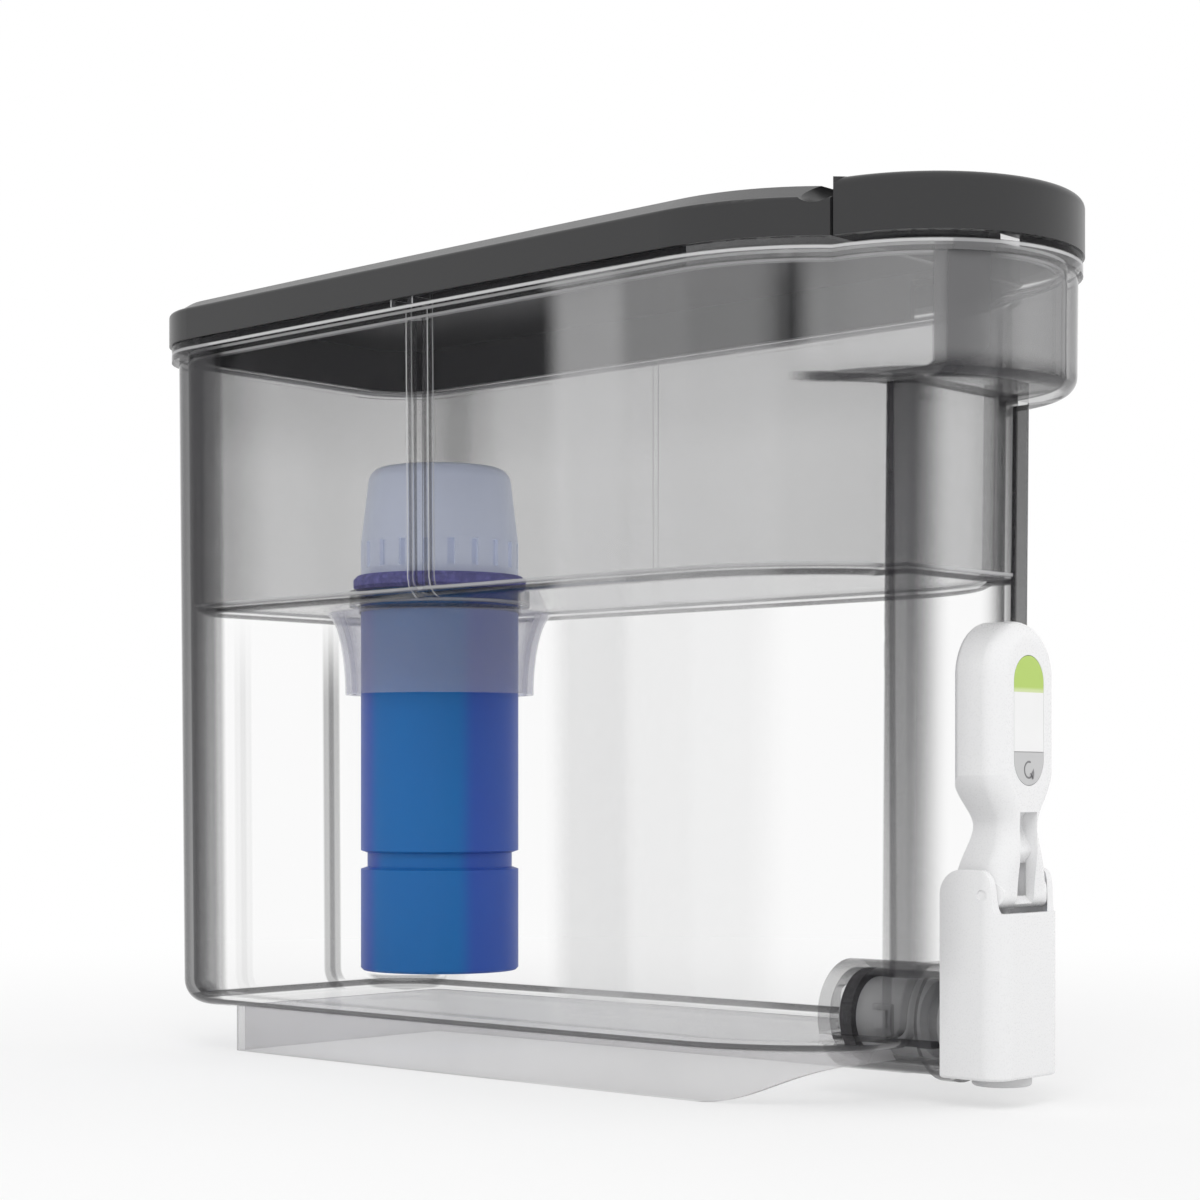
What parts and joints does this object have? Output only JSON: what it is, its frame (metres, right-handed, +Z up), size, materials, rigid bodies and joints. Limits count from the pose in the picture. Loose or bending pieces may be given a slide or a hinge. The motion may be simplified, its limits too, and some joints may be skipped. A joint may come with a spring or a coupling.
{
  "type": "gravity water filter with tap",
  "caption": "Countertop gravity water filter: clear tank with a hanging reservoir, drop-in cartridge, hinged fill door in the lid and a lever tap with filter-change light.",
  "frame": {"origin": "on the table, below the middle of the object's outline", "axes": "+Z up; the tap is at the front, towards -Y; X runs across the width, and the shell is the same on both sides"},
  "size_m": [0.1304, 0.3244, 0.252],
  "materials": {
    "tank_smoke": "clear, slightly smoky, polished",
    "reservoir_smoke": "clear smoky grey, polished",
    "foot_frost": "frosted clear",
    "tap_white": "satin white",
    "nozzle_grey": "matte light grey",
    "valve_grey": "matte light grey",
    "dark_rubber": "black silicone rubber",
    "steel": "stainless",
    "strip_white": "smooth white",
    "lamp_green": "translucent green",
    "button_grey": "matte grey",
    "board_green": "green laminate",
    "filter_blue": "satin blue",
    "seal_violet": "violet-blue rubber",
    "cap_frost": "frosted pale blue-grey",
    "filter_bed": "granular",
    "screen_white": "fine mesh",
    "lid_charcoal": "satin charcoal"
  },
  "bodies": {
    "tank": {"tank": "tank_smoke", "base_skirt": "foot_frost", "tap_body": "tap_white", "tap_back_cover": "tap_white", "cover_screws": "steel", "tap_nozzle": "nozzle_grey", "valve_body": "valve_grey", "barrel_gasket": "dark_rubber", "valve_bonnet": "valve_grey", "stem_ring": "dark_rubber", "return_spring": "steel", "lever_pins": "steel"},
    "valve": {"valve_stem": "tap_white", "valve_seal": "dark_rubber"},
    "lever": {"lever_arm": "tap_white", "lever_cover": "tap_white", "indicator_strip": "strip_white", "lamp_lens": "lamp_green", "circuit_board": "board_green", "coin_cell": "steel"},
    "reset_button": {"reset_button": "button_grey"},
    "reservoir": {"reservoir": "reservoir_smoke"},
    "filter": {"filter_body": "filter_blue", "filter_seal": "seal_violet", "filter_cap": "cap_frost", "filter_media": "filter_bed", "filter_outlet_screen": "screen_white", "filter_inlet_screen": "screen_white"},
    "lid": {"lid": "lid_charcoal", "hinge_pin": "steel"},
    "fill_door": {"fill_door": "lid_charcoal"}
  },
  "joints": [
    {"name": "lever_tilt", "type": "hinge", "parent": "tank", "child": "lever", "pos_m": [0, -0.1478, 0.0585], "axis": [1, 0, 0], "range_deg": [0, 25], "stiffness_Nm_per_rad": 0.4, "springref_deg": -8.59},
    {"name": "valve_lift", "type": "slide", "parent": "tank", "child": "valve", "axis": [0, 0, 1], "range_m": [0, 0.00176], "deforming": ["return_spring"]},
    {"name": "button_press", "type": "slide", "parent": "lever", "child": "reset_button", "axis": [0, 1, 0], "range_m": [0, 0.0006], "stiffness_N_per_m": 500, "springref_m": -0.0004},
    {"name": "reservoir_lift", "type": "slide", "parent": "tank", "child": "reservoir", "axis": [0, 0, 1], "range_m": [0, 0.22]},
    {"name": "filter_lift", "type": "slide", "parent": "reservoir", "child": "filter", "axis": [0, 0, 1], "range_m": [0, 0.035]},
    {"name": "lid_lift", "type": "slide", "parent": "reservoir", "child": "lid", "axis": [0, 0, 1], "range_m": [0, 0.08]},
    {"name": "door_swing", "type": "hinge", "parent": "lid", "child": "fill_door", "pos_m": [0, -0.1166, 0.2494], "axis": [-1, 0, 0], "range_deg": [0, 95]}
  ],
  "couplings": [
    {"joint": "valve_lift", "follows": "lever_tilt", "m_per_rad": 0.004}
  ]
}
